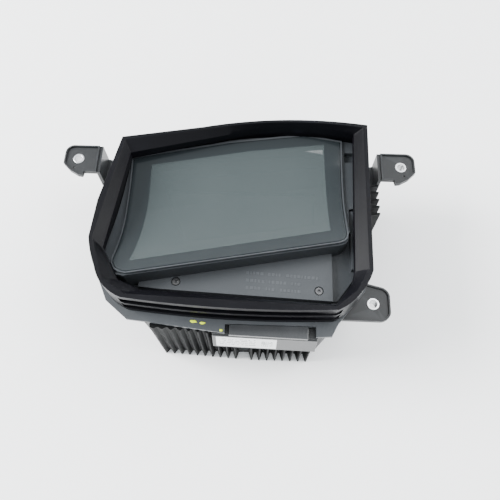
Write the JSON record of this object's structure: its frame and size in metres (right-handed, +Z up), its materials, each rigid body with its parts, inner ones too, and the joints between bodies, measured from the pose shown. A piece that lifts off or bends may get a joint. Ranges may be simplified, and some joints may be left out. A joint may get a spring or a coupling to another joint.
{
  "type": "instrument cluster",
  "caption": "Vehicle instrument head-up display unit: sealed black case with three mounting ears, light shield, curved smoked cover glass, finned heat sinks and tilting mirror.",
  "frame": {"origin": "centre of the unit's outline in plan, on the surface it stands on", "axes": "+X to the unit's right as its label is read, +Y towards the windscreen, +Z up out of the cover glass"},
  "size_m": [0.322, 0.1846, 0.118],
  "materials": {
    "acetal": "natural acetal",
    "black_aluminium": "black anodised casting",
    "black_steel": "black plated screws",
    "board": "solder masked laminate",
    "bronze": "sintered bronze",
    "can": "drawn can",
    "case_plastic": "fine grained moulded black plastic",
    "chip": "moulded epoxy",
    "clear": "clear moulding",
    "diffuse": "white diffuser",
    "flex": "polyimide ribbon",
    "gold": "gold plated pins",
    "label": "white printed film",
    "lamp": "lamp chip",
    "membrane": "vent membrane",
    "mirror_face": "cold mirror coating",
    "pad_grey": "soft thermal pad",
    "seal": "black rubber",
    "shield_plastic": "fine grained moulded black plastic",
    "smoked_glass": "smoked cover glass with a printed dark border",
    "steel": "zinc plated steel",
    "tape": "black foam tape"
  },
  "bodies": {
    "housing": {"lower_case": "case_plastic", "upper_case": "case_plastic", "light_shield": "shield_plastic", "cover_glass": "smoked_glass", "glass_tape": "tape", "case_seal": "seal", "front_heat_sink": "black_aluminium", "side_heat_sink": "black_aluminium", "front_cover": "case_plastic", "id_label": "label", "mount_bushes": "steel", "ledge_screws": "black_steel", "sink_screws": "steel", "side_sink_screws": "steel", "board_screws": "steel", "motor_screws": "steel", "bracket_screws": "steel", "stand_screws": "steel", "vent_membrane": "membrane", "light_baffle": "case_plastic", "pivot_bushes": "bronze", "drive_bracket": "steel", "idler_axle": "steel", "stepper_motor": "steel", "control_board": "board", "board_chips": "chip", "thermal_pad": "pad_grey", "board_capacitors": "can", "harness_header": "case_plastic", "header_pins": "gold", "picture_case": "case_plastic", "display_panel": "clear", "light_diffuser": "diffuse", "lens_array": "clear", "lamp_board": "board", "lamp_chips": "lamp", "panel_flex": "flex", "fold_mirror": "mirror_face", "fold_mirror_stand": "case_plastic"},
    "mirror": {"concave_mirror": "mirror_face", "mirror_carrier": "case_plastic", "sector_gear": "acetal"},
    "idler": {"idler_gear": "acetal"},
    "pinion": {"motor_pinion": "acetal"}
  },
  "joints": [
    {"name": "mirror_tilt", "type": "hinge", "parent": "housing", "child": "mirror", "pos_m": [0, 0.028, 0.038], "axis": [1, 0, 0], "range_deg": [-4.5, 4.5]},
    {"name": "idler_spin", "type": "hinge", "parent": "housing", "child": "idler", "pos_m": [0, -0.01348, 0.03069], "axis": [1, 0, 0], "range_deg": [-27.2, 27.2]},
    {"name": "pinion_spin", "type": "hinge", "parent": "housing", "child": "pinion", "pos_m": [0, -0.02554, 0.05157], "axis": [1, 0, 0], "range_deg": [-81.5, 81.5]}
  ],
  "couplings": [
    {"joint": "idler_spin", "follows": "mirror_tilt", "ratio": -6},
    {"joint": "pinion_spin", "follows": "mirror_tilt", "ratio": 18}
  ]
}
